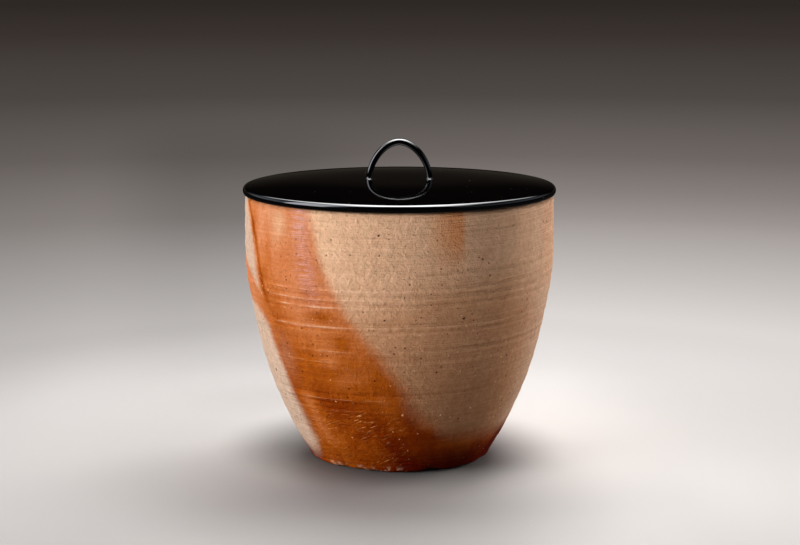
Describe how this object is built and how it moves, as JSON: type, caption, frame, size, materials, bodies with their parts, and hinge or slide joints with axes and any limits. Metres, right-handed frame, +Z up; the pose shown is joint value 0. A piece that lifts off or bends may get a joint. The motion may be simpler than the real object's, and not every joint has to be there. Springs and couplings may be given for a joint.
{
  "type": "tea ceremony water jar",
  "caption": "Unglazed stoneware jar with a narrow foot and upright upper wall, and a loose, slightly domed black lacquered wooden lid with a loop handle.",
  "frame": {"origin": "centre of the jar's foot, on the surface that it stands on", "axes": "+Z up along the jar's turning axis; the arch of the handle lies in the XZ plane; -Y faces the viewer of the picture"},
  "size_m": [0.1922, 0.1922, 0.1969],
  "materials": {
    "fired_clay": "matte, unglazed, with an orange fire mark",
    "lid_lacquer": "polished black lacquer on wood",
    "ring_lacquer": "satin black lacquer on wood",
    "handle_lacquer": "polished black lacquer on bent wood"
  },
  "bodies": {
    "jar": {"jar_body": "fired_clay"},
    "lid": {"lid_board": "lid_lacquer", "lid_seat_ring": "ring_lacquer", "lid_handle": "handle_lacquer"}
  },
  "joints": [
    {"name": "lid_lift", "type": "slide", "parent": "jar", "child": "lid", "axis": [0, 0, 1], "range_m": [0, 0.12]}
  ]
}
